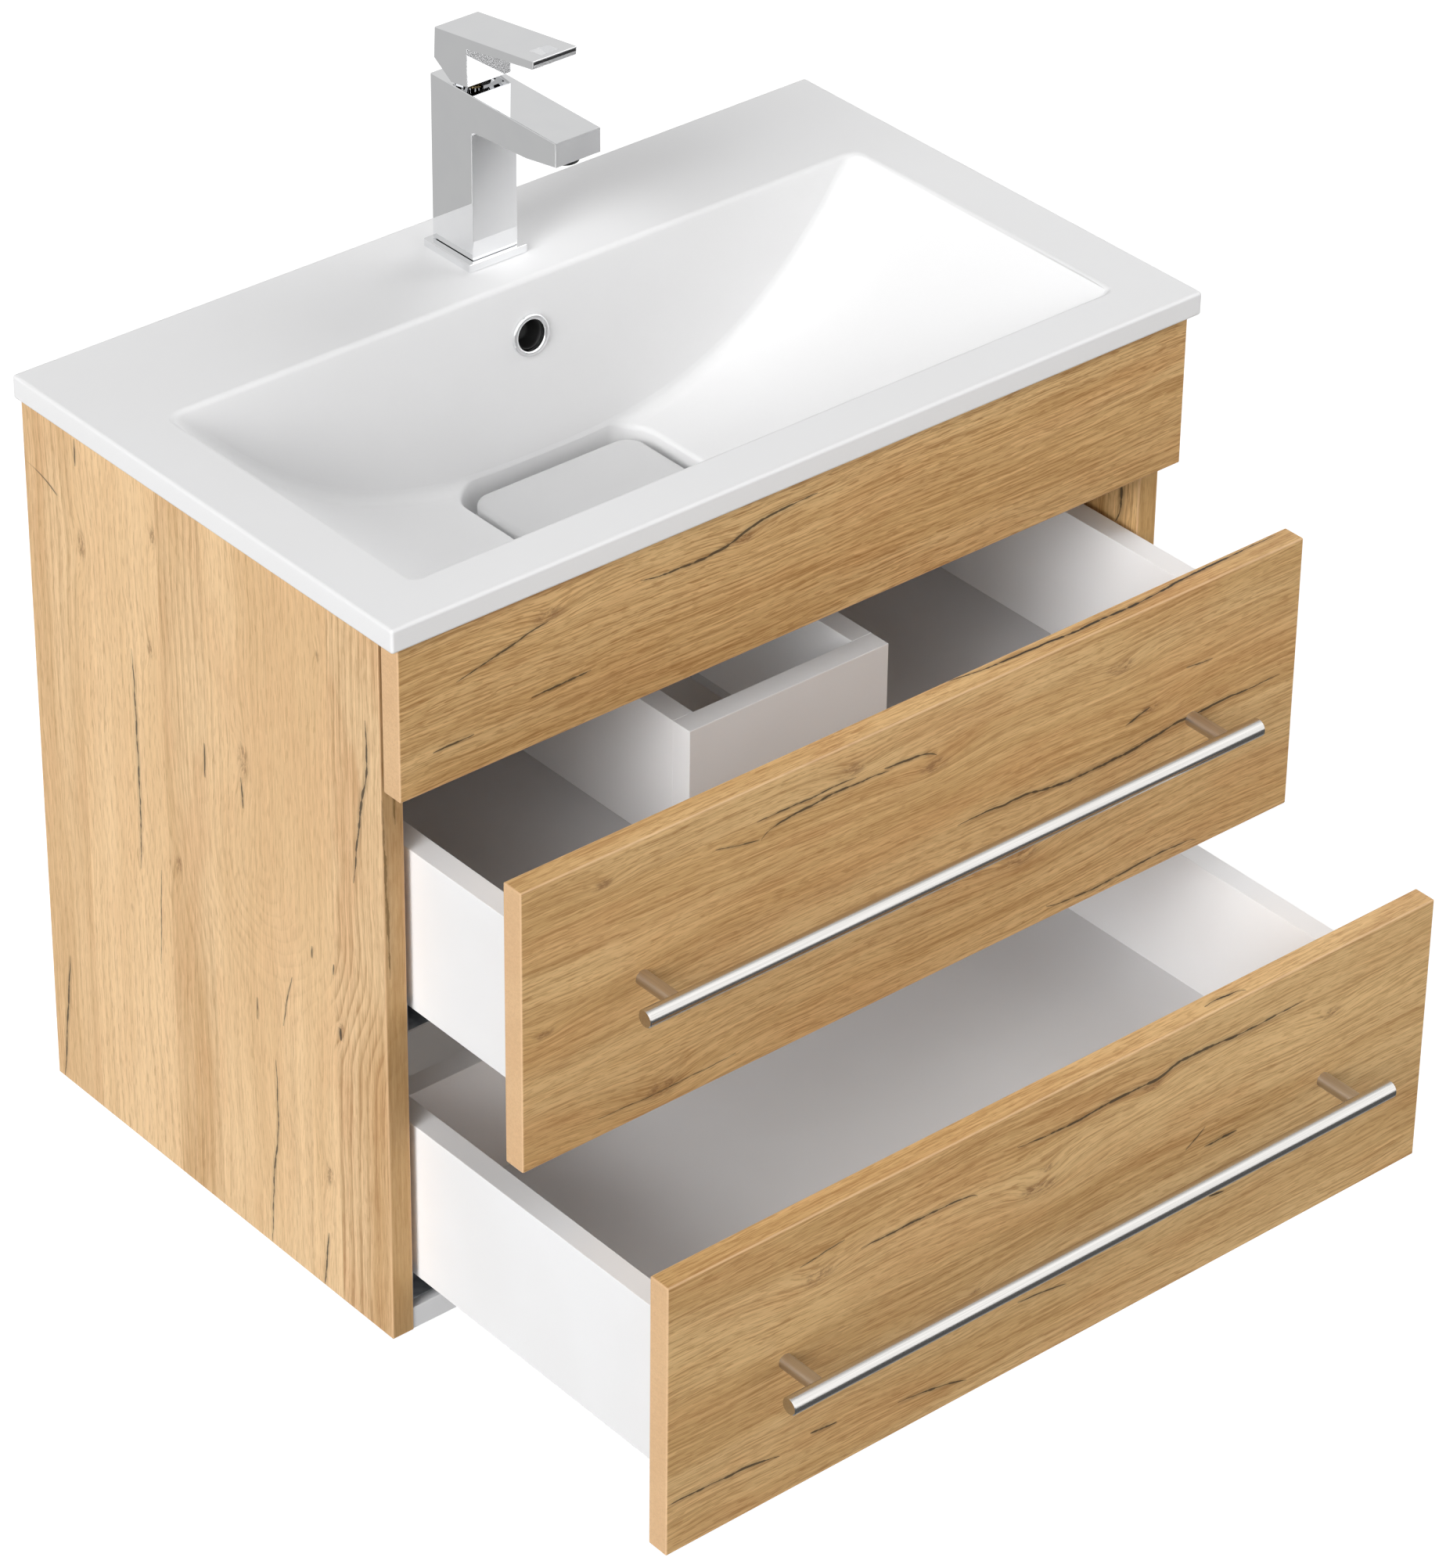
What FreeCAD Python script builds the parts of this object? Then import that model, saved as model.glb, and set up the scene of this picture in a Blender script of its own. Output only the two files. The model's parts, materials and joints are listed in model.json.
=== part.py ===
import FreeCAD, Part
import os
from math import cos, pi, radians, sin

from FreeCAD import Vector

# A wall-hung vanity: an oak-faced cabinet with two drawers, a cast basin top with a
# rectangular bowl, and a square single-lever tap.
#
# Millimetres. X runs to the right seen from the front, the front faces -Y, Z is up.
# Everything is laid out from the wall plane (y = 0) and the cabinet's underside (z = 0).
# save() lowers it by fixing_z, so that the origin of the finished part is the middle of
# the four wall fixings, on the wall plane. Both drawers stand open.

# ---------------------------------------------------------------- cabinet
cabinet_w = 733.0
cabinet_h = 602.6
board = 19.0
panel_depth = 424.5
front_gap = 3.0                 # between the carcass's front edges and the fronts' backs
front_h = 233.0                 # both drawer fronts
low_front_z = 2.1
top_front_z = 239.8
fascia_z = 477.1
fascia_top_gap = 0.6
front_arris = 1.2               # rounding of the edge-banded fronts
panel_arris = 0.9
white_arris = 0.5
top_rail_h = 100.0
low_rail_h = 130.0

half_w = cabinet_w / 2
inner_half = half_w - board
front_back_y = -(panel_depth + front_gap)
front_face_y = front_back_y - board

# ---------------------------------------------------------------- drawers
open_top = 131.9                # how far each drawer stands out
open_low = 288.6
box_outer_half = 341.2
box_side_t = 19.0
box_side_h = 135.0
box_len = 354.0
box_top_z = 281.2               # underside of the box's sides
box_low_z = 43.7
floor_up = 13.5                 # floor's underside above the sides' underside
floor_t = 8.0
back_drop = 8.2                 # the back is lower than the sides by this
pocket_inner_half = 75.5        # siphon pocket of the top drawer
pocket_front_y = -297.0         # its outer front face with the drawer shut
box_inner_half = box_outer_half - box_side_t
box_back_y = front_back_y + box_len
deck_up = floor_up + floor_t

# ---------------------------------------------------------------- handles
bar_r = 7.0
bar_len = 582.0
bar_stand_off = 39.5            # bar axis in front of the drawer front
post_r = 6.0
post_spacing = 521.0
handle_top_z = 358.4
handle_low_z = 120.6
screw_r = 2.0
screw_hole_r = 2.2
screw_head_r = 4.2
screw_head_t = 2.4

# ---------------------------------------------------------------- runners
steel_t = 1.5
runner_len = 350.0
middle_len = 300.0
member_len = 340.0
runner_front_y = -(panel_depth - 2.0)
runner_slack = 0.7

# ---------------------------------------------------------------- basin
slab_w = 750.0
slab_d = 449.0
slab_t = 19.4
slab_back_y = -3.0
slab_arris = 2.5
top_z = cabinet_h + slab_t
bowl_half = 325.0
bowl_depth = 148.0
bowl_power = 2.7                # the flanks fall as 1 - (x / bowl_half) ** bowl_power
bowl_back_y = -123.0
bowl_front_y = -407.5
bowl_back_draft = 0.12          # run per unit of depth
bowl_front_draft = 0.10
bowl_back_crease_r = 11.0       # rounding where the flanks meet the back wall
bowl_front_crease_r = 5.0
bowl_rim_r = 4.5
shell_t = 12.0
well_half = 88.7
well_back_y = -140.5
well_len = 130.0
well_depth = 22.0
well_corner_r = 26.0
well_rim_r = 4.0
waste_y = well_back_y - well_len / 2
waste_hole_r = 22.5
tap_y = -63.4
tap_hole_r = 17.5
overflow_depth = 45.0
overflow_hole_r = 14.5
ring_flange_r = 17.0
ring_bore_r = 12.2
duct_half = 22.0
duct_wall = 5.0
duct_channel = 9.0
channel_mouth = (1.0, 11.0)     # heights of its outlet above the well's floor

# ---------------------------------------------------------------- drain cover
cover_gap = 10.7
cover_t = 9.0
cover_corner_r = 17.0
cover_rim_r = 4.5
cover_foot_r = 5.0

# ---------------------------------------------------------------- tap, heights above the slab
base_half_x = 27.0
base_half_y = 28.0
base_t = 7.0
reveal = 0.7                    # shadow gap between the base plate and the body
body_half_x = 21.0
body_half_y = 24.0
body_top = 143.6
spout_front_y = -185.7
spout_under_root = 113.7
spout_under_mid_y = -151.5
spout_under_mid = 118.1
spout_under_tip = 124.1
lever_half_x = 20.2
lever_tip_y = -159.6
lever_tip_top = 199.1
lever_tip_under = 192.1
lever_back_y = -43.8
lever_back_top = 182.6
lever_back_low = 157.5
lever_heel_y = -62.7
lever_heel = 144.9
lever_neck_y = -81.5
lever_neck_low = 147.9
lever_neck_top = 178.6
lever_pivot = 138.0
lever_hole_half_x = 8.0
lever_hole_y = (-140.0, -154.0)
inlay_half_x = 19.4             # slot for the dark inlay across the lever's tip
inlay_top = 197.9
inlay_h = 2.5
inlay_deep = 3.0
cartridge_r = 16.5
stud_r = 4.0
stud_back = 8.0                 # the stud stands behind the tap's axis
stem_half = 4.0
pivot_r = 5.0
guide_r = 12.5
aerator_r = 11.0
inlet_x = 8.6
inlet_forward = 3.5
inlet_r = 5.0
inlet_len = 20.0

# ---------------------------------------------------------------- waste and trap
tail_r = 20.9
tail_bore_r = 17.0
tail_len = 40.0                 # below the basin
trap_head_z = 330.0
trap_outlet_z = 349.5
trap_r = 30.0
trap_cup_low_z = 262.0
pipe_r = 16.0
pipe_wall = 2.0
pipe_past_wall = 30.0
rosette_r = 35.0

# ---------------------------------------------------------------- wall fixings
fixing_z = 452.0
fixing_half_x = 318.0
fixing_spacing_z = 32.0
fixing_hole_r = 3.2
plate_t = 2.0

UP = Vector(0, 0, 1)
DOWN = Vector(0, 0, -1)
FRONT = Vector(0, -1, 0)
BACK = Vector(0, 1, 0)
RIGHT = Vector(1, 0, 0)


# ---------------------------------------------------------------- helpers
def block(x, y, z, r=0.0):
    """A box between two x, two y and two z values, with rounded edges if r is given."""
    x0, x1 = sorted(x)
    y0, y1 = sorted(y)
    z0, z1 = sorted(z)
    solid = Part.makeBox(x1 - x0, y1 - y0, z1 - z0, Vector(x0, y0, z0))
    return solid.makeFillet(r, solid.Edges) if r else solid


def rod(r, start, axis, length):
    """A cylinder from a start point along an axis."""
    return Part.makeCylinder(r, length, Vector(*start), axis)


def ring(r, bore, start, axis, length):
    """A cylinder with a through hole."""
    past = Vector(*start) - axis
    return rod(r, start, axis, length).cut(Part.makeCylinder(bore, length + 2, past, axis))


def hexagon(across, centre, height):
    """A hexagonal prism standing on its centre point."""
    x, y, z = centre
    r = across / 2 / cos(pi / 6)
    corners = [Vector(x + r * cos(k * pi / 3), y + r * sin(k * pi / 3), z) for k in range(6)]
    return Part.Face(Part.makePolygon(corners + corners[:1])).extrude(UP * height)


def mirrored(solid):
    """The same piece on the other side of the cabinet."""
    return solid.mirror(Vector(0, 0, 0), RIGHT)


def both_sides(solid):
    return [mirrored(solid), solid]


def moved(solid, out):
    """The piece when its drawer stands out by this much."""
    copy = solid.copy()
    copy.translate(FRONT * out)
    return copy


def prism_x(outline, half):
    """A y-z outline of (y, z) points, extruded from x = -half to x = half."""
    corners = [Vector(-half, y, z) for y, z in outline]
    return Part.Face(Part.makePolygon(corners + corners[:1])).extrude(RIGHT * 2 * half)


def rounded_plate(half_x, y, z, corner_r):
    """A box with its four upright edges rounded."""
    solid = block((-half_x, half_x), y, z)
    upright = [e for e in solid.Edges if abs(e.tangentAt(e.FirstParameter).z) > 0.99]
    return solid.makeFillet(corner_r, upright)


def edges_where(solid, test):
    """Edges whose whole length satisfies a test on their points."""
    found = []
    for edge in solid.Edges:
        first, last = edge.ParameterRange
        points = [edge.valueAt(first + (last - first) * k / 4) for k in range(5)]
        if all(test(p) for p in points):
            found.append(edge)
    return found


def save(name, *solids):
    """Write one sub-part, moved so that the wall fixings are at the origin."""
    shape = Part.makeCompound(list(solids)) if len(solids) > 1 else solids[0].copy()
    shape.translate(DOWN * fixing_z)
    shape.exportStep("parts/%s.step" % name)


# ---------------------------------------------------------------- carcass
def carcass():
    side = block((inner_half, half_w), (0, -panel_depth), (0, cabinet_h), panel_arris)
    save("side_panel_right", side)
    save("side_panel_left", mirrored(side))
    inside = (-inner_half, inner_half)
    save("bottom_panel", block(inside, (0, -panel_depth + 1), (0, board), white_arris))
    rail_y = (0, -board)
    top_rail = block(inside, rail_y, (cabinet_h - top_rail_h, cabinet_h), white_arris)
    low_rail = block(inside, rail_y, (board, board + low_rail_h), white_arris)
    save("rear_rails", low_rail, top_rail)
    fascia_z_range = (fascia_z, cabinet_h - fascia_top_gap)
    save("fascia", block((-half_w, half_w), (front_back_y, front_face_y), fascia_z_range, front_arris))


def fascia_brackets():
    """Two steel angles that hold the fascia on the side panels."""
    leg_t = 2.0
    z = (510.0, 560.0)
    side_leg = block((inner_half - leg_t, inner_half), (front_back_y, -395.0), z)
    front_leg = block((inner_half - 30, inner_half), (front_back_y, front_back_y + leg_t), z)
    save("fascia_brackets", *both_sides(side_leg.fuse(front_leg).removeSplitter()))


def wall_hangers():
    """A housing with a hook on each side panel, and the plate on the wall that it drops onto."""
    x = (inner_half - 16, inner_half)
    hook_x = (inner_half - 14, inner_half - 2)
    housing = block(x, (-20, -60), (455, 495), 1.5)
    arm = block(hook_x, (-20, -0.5 - plate_t), (481, 485))
    tooth = block(hook_x, (-0.5 - plate_t - 2, -0.5 - plate_t), (473, 481))
    save("hanger_housings", *both_sides(housing.fuse([arm, tooth]).removeSplitter()))
    plate_x = (fixing_half_x - 16, inner_half - 1)
    sheet = block(plate_x, (-plate_t, 0), (fixing_z - 30, fixing_z + 40))
    ledge = block(plate_x, (-plate_t, -8.5), (fixing_z + 14, fixing_z + 16))
    lip = block(plate_x, (-6.5, -8.5), (fixing_z + 14, fixing_z + 25))
    plate = sheet.fuse([ledge, lip]).removeSplitter()
    for side in (-1, 1):
        hole_z = fixing_z + side * fixing_spacing_z / 2
        plate = plate.cut(rod(fixing_hole_r, (fixing_half_x - 6, -5, hole_z), BACK, 10))
    save("wall_plates", *both_sides(plate))


# ---------------------------------------------------------------- basin
def flank_depth(x, depth, half):
    return depth * (1 - (abs(x) / half) ** bowl_power)


def trough(half, depth, y):
    """The space under the bowl's flank curve, running from front to back."""
    stations = [half * sin(radians(90) * k / 7) for k in range(-7, 8)]
    points = [Vector(x, y[0], top_z - flank_depth(x, depth, half)) for x in stations]
    curve = Part.BSplineCurve()
    curve.interpolate(points)
    lid = Part.LineSegment(points[-1], points[0])
    face = Part.Face(Part.Wire([curve.toShape(), lid.toShape()]))
    return face.extrude(Vector(0, y[1] - y[0], 0))


def crease(space, half, at_back):
    """The long edge where the flanks' curve meets the back or the front wall."""
    middle = (bowl_back_y + bowl_front_y) / 2
    edges = edges_where(space, lambda p: (p.y > middle) == at_back
                        and (p.z < top_z - 0.01 or abs(abs(p.x) - half) < 0.5))
    return [e for e in edges if e.Length > half]


def bowl_space(grow):
    """The bowl's inside, or its outside when it grows by the shell's thickness."""
    half = bowl_half + grow
    depth = bowl_depth + grow
    low = depth + 5
    back = bowl_back_y + grow
    front = bowl_front_y - grow
    outline = [(back, top_z), (back - bowl_back_draft * low, top_z - low),
               (front + bowl_front_draft * low, top_z - low), (front, top_z)]
    space = prism_x(outline, half + 10).common(trough(half, depth, (-600, 0)))
    space = space.makeFillet(bowl_back_crease_r, crease(space, half, True))
    return space.makeFillet(bowl_front_crease_r, crease(space, half, False))


def basin():
    """The slab with its bowl, the well in the bowl's floor and the overflow channel behind it."""
    slab_y = (slab_back_y, slab_back_y - slab_d)
    slab = block((-slab_w / 2, slab_w / 2), slab_y, (cabinet_h, top_z), slab_arris)
    bowl_low = top_z - bowl_depth
    well_floor = bowl_low - well_depth
    well_y = (well_back_y, well_back_y - well_len)
    boss = rounded_plate(well_half + shell_t, (well_y[0] + 6, well_y[1] - shell_t),
                         (well_floor - shell_t, bowl_low + 4), well_corner_r + shell_t)
    wall_y = bowl_back_y + shell_t - bowl_back_draft * 30
    channel_y = (wall_y, wall_y + duct_channel)
    duct = block((-duct_half, duct_half), (well_back_y, channel_y[1] + duct_wall),
                 (well_floor - shell_t, cabinet_h + 1))
    body = slab.fuse([bowl_space(shell_t), boss, duct]).removeSplitter()
    body = body.cut(bowl_space(0))
    rim = edges_where(body, lambda p: abs(p.z - top_z) < 0.01 and abs(p.x) < bowl_half + 1
                      and bowl_front_y - 1 < p.y < bowl_back_y + 1)
    body = body.makeFillet(bowl_rim_r, rim)
    body = body.cut(rounded_plate(well_half, well_y, (well_floor, bowl_low + 20), well_corner_r))
    well_rim = edges_where(body, lambda p: well_floor + 5 < p.z < bowl_low + 8
                           and abs(p.x) < well_half + 0.5 and well_y[1] - 0.5 < p.y < well_y[0] - 8)
    body = body.makeFillet(well_rim_r, well_rim)
    channel_x = (duct_wall - duct_half, duct_half - duct_wall)
    mouth_z = (well_floor + channel_mouth[0], well_floor + channel_mouth[1])
    body = body.cut(block(channel_x, channel_y, (mouth_z[0], top_z - 26)))
    body = body.cut(block(channel_x, (well_back_y - 3, channel_y[1]), mouth_z))
    overflow_z = top_z - overflow_depth
    hole_y = bowl_back_y - bowl_back_draft * overflow_depth
    body = body.cut(rod(overflow_hole_r, (0, hole_y - 5, overflow_z), BACK, wall_y - hole_y + 8))
    body = body.cut(rod(waste_hole_r, (0, waste_y, well_floor - 30), UP, 60))
    return body.cut(rod(tap_hole_r, (0, tap_y, cabinet_h - 5), UP, slab_t + 10))


def drain_cover():
    """A loose rounded plate that lies in the well on four feet and hides the waste."""
    half = well_half - cover_gap
    y = (well_back_y - cover_gap, well_back_y - well_len + cover_gap)
    top = top_z - bowl_depth + 1
    plate = rounded_plate(half, y, (top - cover_t, top), cover_corner_r)
    rim = edges_where(plate, lambda p: abs(p.z - top) < 0.01)
    plate = plate.makeFillet(cover_rim_r, rim)
    floor = top_z - bowl_depth - well_depth
    inset = 16.0
    for x in (-half + inset, half - inset):
        for foot_y in (y[0] - inset, y[1] + inset):
            plate = plate.fuse(rod(cover_foot_r, (x, foot_y, floor), UP, top - cover_t / 2 - floor))
    return plate.removeSplitter()


def overflow_ring():
    """A chromed ring pressed into the overflow hole, square to the drafted wall."""
    lean = Vector(0, -1, bowl_back_draft).normalize()
    centre = Vector(0, bowl_back_y - bowl_back_draft * overflow_depth, top_z - overflow_depth)
    flange = Part.makeCylinder(ring_flange_r, 2.6, centre, lean)
    sleeve = Part.makeCylinder(overflow_hole_r - 1.2, 9, centre - lean * 8, lean)
    bore = Part.makeCylinder(ring_bore_r, 20, centre - lean * 12, lean)
    whole = flange.fuse(sleeve).cut(bore).removeSplitter()
    lips = [e for e in whole.Edges if e.Closed and (e.CenterOfMass - centre).dot(lean) > 2]
    return whole.makeFillet(1.8, lips)


# ---------------------------------------------------------------- tap
def tap_point(y, height):
    return (y, top_z + height)


def tap():
    back = tap_y + body_half_y
    front = tap_y - body_half_y
    base = block((-base_half_x, base_half_x), (tap_y - base_half_y, tap_y + base_half_y),
                 (top_z, top_z + base_t), 0.8)
    passage = rod(14.5, (0, tap_y, top_z - 5), UP, 30)
    save("tap_base", base.cut(passage))
    foot = base_t + reveal
    outline = [tap_point(back, foot), tap_point(back, body_top),
               tap_point(spout_front_y, body_top), tap_point(spout_front_y, spout_under_tip),
               tap_point(spout_under_mid_y, spout_under_mid), tap_point(front, spout_under_root),
               tap_point(front, foot)]
    body = prism_x(outline, body_half_x)
    inner = edges_where(body, lambda p: abs(p.y - front) < 0.01
                        and abs(p.z - top_z - spout_under_root) < 0.01)
    body = body.makeFillet(3.0, inner)
    outer = edges_where(body, lambda p: abs(abs(p.x) - body_half_x) < 0.01
                        and p.z > top_z + foot + 0.1)
    body = body.makeFillet(0.7, outer)
    plinth = block((1.5 - body_half_x, body_half_x - 1.5), (front + 1.5, back - 1.5),
                   (top_z + base_t, top_z + foot + 1))
    body = body.fuse(plinth)
    body = body.cut(rod(cartridge_r + 0.5, (0, tap_y, top_z + 96), UP, 60))
    aerator_y = spout_front_y + 16.0
    seat_z = top_z + 121.5
    body = body.cut(rod(aerator_r + 0.2, (0, aerator_y, top_z + 100), UP, 31))
    body = body.cut(rod(6.0, (0, aerator_y, top_z + 125), UP, 9))
    water_way = rod(6.0, (0, aerator_y, top_z + 130), BACK, tap_y - aerator_y)
    body = body.cut(water_way)
    body = body.cut(rod(9.0, (0, tap_y, top_z), UP, 40))
    body = body.cut(rod(stud_r, (0, tap_y + stud_back, top_z), UP, 20))
    save("tap_body", body)
    sleeve = ring(aerator_r, 8.6, (0, aerator_y, seat_z - 3), UP, 12)
    grille = rod(8.6, (0, aerator_y, seat_z), UP, 3)
    for k in range(6):
        turn = k * pi / 3
        spot = (5 * cos(turn), aerator_y + 5 * sin(turn), seat_z - 1)
        grille = grille.cut(rod(1.4, spot, UP, 6))
    save("aerator", sleeve.fuse(grille).removeSplitter())


def cartridge():
    """The ceramic cartridge, its turning guide, the domed collar over it and the lever's stem."""
    low = top_z + 96
    save("cartridge", rod(cartridge_r, (0, tap_y, low), UP, 29.5))
    guide = rod(guide_r, (0, tap_y, low + 30), UP, 5)
    slot = block((-stem_half - 0.4, stem_half + 0.4), (tap_y - 9.0, tap_y + 5.2), (low + 29, low + 36))
    save("cartridge_guide", guide.cut(slot))
    dome_r = 30.0
    collar_top = top_z + body_top - 0.6
    collar = ring(cartridge_r, guide_r + 0.4, (0, tap_y, low + 29.5), UP, 20)
    dome = Part.makeSphere(dome_r, Vector(0, tap_y, collar_top - dome_r))
    save("cartridge_collar", collar.common(dome))
    stem = block((-stem_half, stem_half), (tap_y - stem_half, tap_y + stem_half),
                 (low + 31, top_z + 165), 0.6)
    pivot = rod(pivot_r, (-stem_half, tap_y, top_z + lever_pivot), RIGHT, 2 * stem_half)
    save("lever_stem", stem.fuse(pivot).removeSplitter())


def lever():
    """A square L-shaped lever: a neck over the body and a flat arm with a square eye at its tip."""
    outline = [tap_point(lever_back_y, lever_back_top), tap_point(lever_tip_y, lever_tip_top),
               tap_point(lever_tip_y + 0.8, lever_tip_under), tap_point(lever_neck_y, lever_neck_top),
               tap_point(lever_neck_y - 0.8, lever_neck_low), tap_point(lever_heel_y, lever_heel),
               tap_point(lever_back_y + 1.3, lever_back_low)]
    shape = prism_x(outline, lever_half_x)
    shape = shape.makeFillet(0.6, shape.Edges)
    eye = block((-lever_hole_half_x, lever_hole_half_x), lever_hole_y, (top_z + 180, top_z + 210))
    shape = shape.cut(eye)
    hub = block((-stem_half - 0.1, stem_half + 0.1), (tap_y - stem_half - 0.1, tap_y + stem_half + 0.1),
                (top_z + 140, top_z + 165.2))
    shape = shape.cut(hub)
    hollow = block((-lever_half_x + 3, lever_half_x - 3), (lever_neck_y + 3, lever_back_y - 3),
                   (top_z + 140, top_z + 158))
    keep = rod(7.5, (0, tap_y, top_z + 150), UP, 20)
    shape = shape.cut(hollow.cut(keep))
    inlay_y = (lever_tip_y - 1, lever_tip_y + inlay_deep)
    inlay_z = (top_z + inlay_top - inlay_h, top_z + inlay_top)
    shape = shape.cut(block((-inlay_half_x, inlay_half_x), inlay_y, inlay_z))
    save("lever", shape)


def tap_fixing():
    """What clamps the tap to the slab from below, and the two nipples that its hoses screw onto."""
    stud_y = tap_y + stud_back
    under = cabinet_h
    save("tap_stud", rod(stud_r, (0, stud_y, under - 42), UP, 42 + slab_t + 20))
    notch = block((-15, 15), (tap_y - 40, tap_y + 2), (under - 20, under + 1))
    gasket = rod(23.0, (0, tap_y, under - 2), UP, 2).cut(notch).cut(rod(4.4, (0, stud_y, under - 5), UP, 8))
    save("tap_gasket", gasket)
    washer = rod(23.0, (0, tap_y, under - 4.5), UP, 2.5).cut(notch)
    save("tap_washer", washer.cut(rod(4.3, (0, stud_y, under - 6), UP, 8)))
    nut = hexagon(13.0, (0, stud_y, under - 12), 7.5)
    save("tap_nut", nut.cut(rod(4.1, (0, stud_y, under - 14), UP, 12)))
    spot = (inlet_x, tap_y - inlet_forward)
    ferrule = rod(inlet_r, spot + (under - 30,), UP, inlet_len)
    shank = rod(inlet_r - 0.4, spot + (under - 30,), UP, 30 + slab_t + 6)
    nipple = ferrule.fuse([shank, hexagon(10.0, spot + (under - 8,), 5)])
    nipple = nipple.cut(rod(3.0, spot + (under - 31,), UP, 70)).removeSplitter()
    save("tap_inlets", *both_sides(nipple))


# ---------------------------------------------------------------- waste and trap
def waste_and_trap():
    well_floor = top_z - bowl_depth - well_depth
    under = well_floor - shell_t
    spot = (0, waste_y)
    flange = rod(32.0, spot + (well_floor,), UP, 3.0)
    tail = rod(tail_r, spot + (under - tail_len,), UP, tail_len + shell_t + 2)
    waste = flange.fuse(tail).cut(rod(tail_bore_r, spot + (under - 52,), UP, 80)).removeSplitter()
    reach = tail_bore_r + 1
    bar_half = 1.2
    bar_z = (well_floor, well_floor + 2 * bar_half)
    bars = [block((-reach, reach), (waste_y - bar_half, waste_y + bar_half), bar_z),
            block((-bar_half, bar_half), (waste_y - reach, waste_y + reach), bar_z)]
    save("waste_flange", waste.fuse(bars).removeSplitter())
    save("waste_washer", ring(32.0, tail_r + 0.1, spot + (under - 3,), UP, 3))
    nut = hexagon(56.0, spot + (under - 13,), 10).cut(rod(tail_r + 0.1, spot + (under - 15,), UP, 14))
    save("waste_nut", nut)

    neck_top = under - tail_len + 2
    inlet_nut = ring(27.0, tail_r + 0.1, spot + (neck_top - 2,), UP, 20)
    inlet_floor = ring(27.0, pipe_r + 0.2, spot + (neck_top - 16,), UP, 14)
    for k in range(12):
        turn = k * pi / 6
        groove = rod(2.0, (27.5 * cos(turn), waste_y + 27.5 * sin(turn), neck_top - 20), UP, 44)
        inlet_nut = inlet_nut.cut(groove)
        inlet_floor = inlet_floor.cut(groove)
    save("trap_inlet_nut", inlet_nut.fuse(inlet_floor).removeSplitter())

    head_top = trap_head_z + 36
    head = rod(trap_r, spot + (trap_head_z,), UP, 36)
    head = head.makeFillet(6.0, edges_where(head, lambda p: p.z > head_top - 0.1))
    head = head.fuse(rod(pipe_r, spot + (head_top - 5,), UP, neck_top - head_top + 2.5))
    head = head.fuse(rod(pipe_r + 2.5, (0, waste_y, trap_outlet_z), BACK, 44))
    chamber = rod(trap_r - 4, spot + (trap_head_z - 1,), UP, 33)
    head = head.cut(chamber)
    dip_low = trap_cup_low_z + 22
    head = head.fuse(rod(13.0, spot + (dip_low,), UP, head_top - 2 - dip_low))
    head = head.cut(rod(11.0, spot + (dip_low - 1,), UP, neck_top - dip_low))
    socket_y = waste_y + trap_r + 2
    head = head.cut(rod(pipe_r + 0.2, (0, socket_y, trap_outlet_z), BACK, 50))
    head = head.cut(rod(10.0, (0, waste_y + 20, trap_outlet_z), BACK, 50))
    save("trap_head", head.removeSplitter())

    cup = rod(trap_r - 0.5, spot + (trap_cup_low_z,), UP, trap_head_z - trap_cup_low_z)
    low_rim = edges_where(cup, lambda p: p.z < trap_cup_low_z + 0.1)
    cup = cup.makeFillet(9.0, low_rim)
    cup = cup.cut(rod(trap_r - 4, spot + (trap_cup_low_z + 4,), UP, 100))
    band = ring(trap_r + 3, trap_r - 4, spot + (trap_head_z - 16,), UP, 16)
    for k in range(16):
        turn = k * pi / 8
        around = trap_r + 4
        groove = rod(2.2, (around * cos(turn), waste_y + around * sin(turn), trap_head_z - 18), UP, 20)
        band = band.cut(groove)
    save("trap_cup", cup.fuse(band).removeSplitter())

    nut_y = waste_y + 44
    outlet_nut = ring(22.0, pipe_r + 0.2, (0, nut_y, trap_outlet_z), BACK, 16)
    save("trap_outlet_nut", outlet_nut)
    bore = pipe_r - pipe_wall
    pipe = ring(pipe_r - 0.4, bore, (0, socket_y, trap_outlet_z), BACK, -socket_y)
    wall_end = ring(pipe_r, bore, (0, 0, trap_outlet_z), BACK, pipe_past_wall)
    save("trap_outlet_pipe", pipe.fuse(wall_end).removeSplitter())
    rosette = rod(rosette_r, (0, -9, trap_outlet_z), BACK, 9)
    front_rim = edges_where(rosette, lambda p: p.y < -8.9)
    rosette = rosette.makeFillet(5.0, front_rim)
    save("wall_rosette", rosette.cut(rod(pipe_r + 0.2, (0, -12, trap_outlet_z), BACK, 16)))


# ---------------------------------------------------------------- drawers
def drawer_box(name, low_z, out):
    """The parts that both drawers share: sides and floor."""
    y = (front_back_y, box_back_y)
    side = block((box_inner_half, box_outer_half), y, (low_z, low_z + box_side_h), white_arris)
    side = moved(side, out)
    save(name + "_side_right", side)
    save(name + "_side_left", mirrored(side))
    return block((-box_inner_half, box_inner_half), y, (low_z + floor_up, low_z + deck_up))


def drawer_front(name, low_z, handle_z, out):
    front = block((-half_w, half_w), (front_back_y, front_face_y), (low_z, low_z + front_h), front_arris)
    for x in (-post_spacing / 2, post_spacing / 2):
        front = front.cut(rod(screw_hole_r, (x, front_back_y + 5, handle_z), FRONT, board + 10))
    save(name + "_front", moved(front, out))


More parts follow.
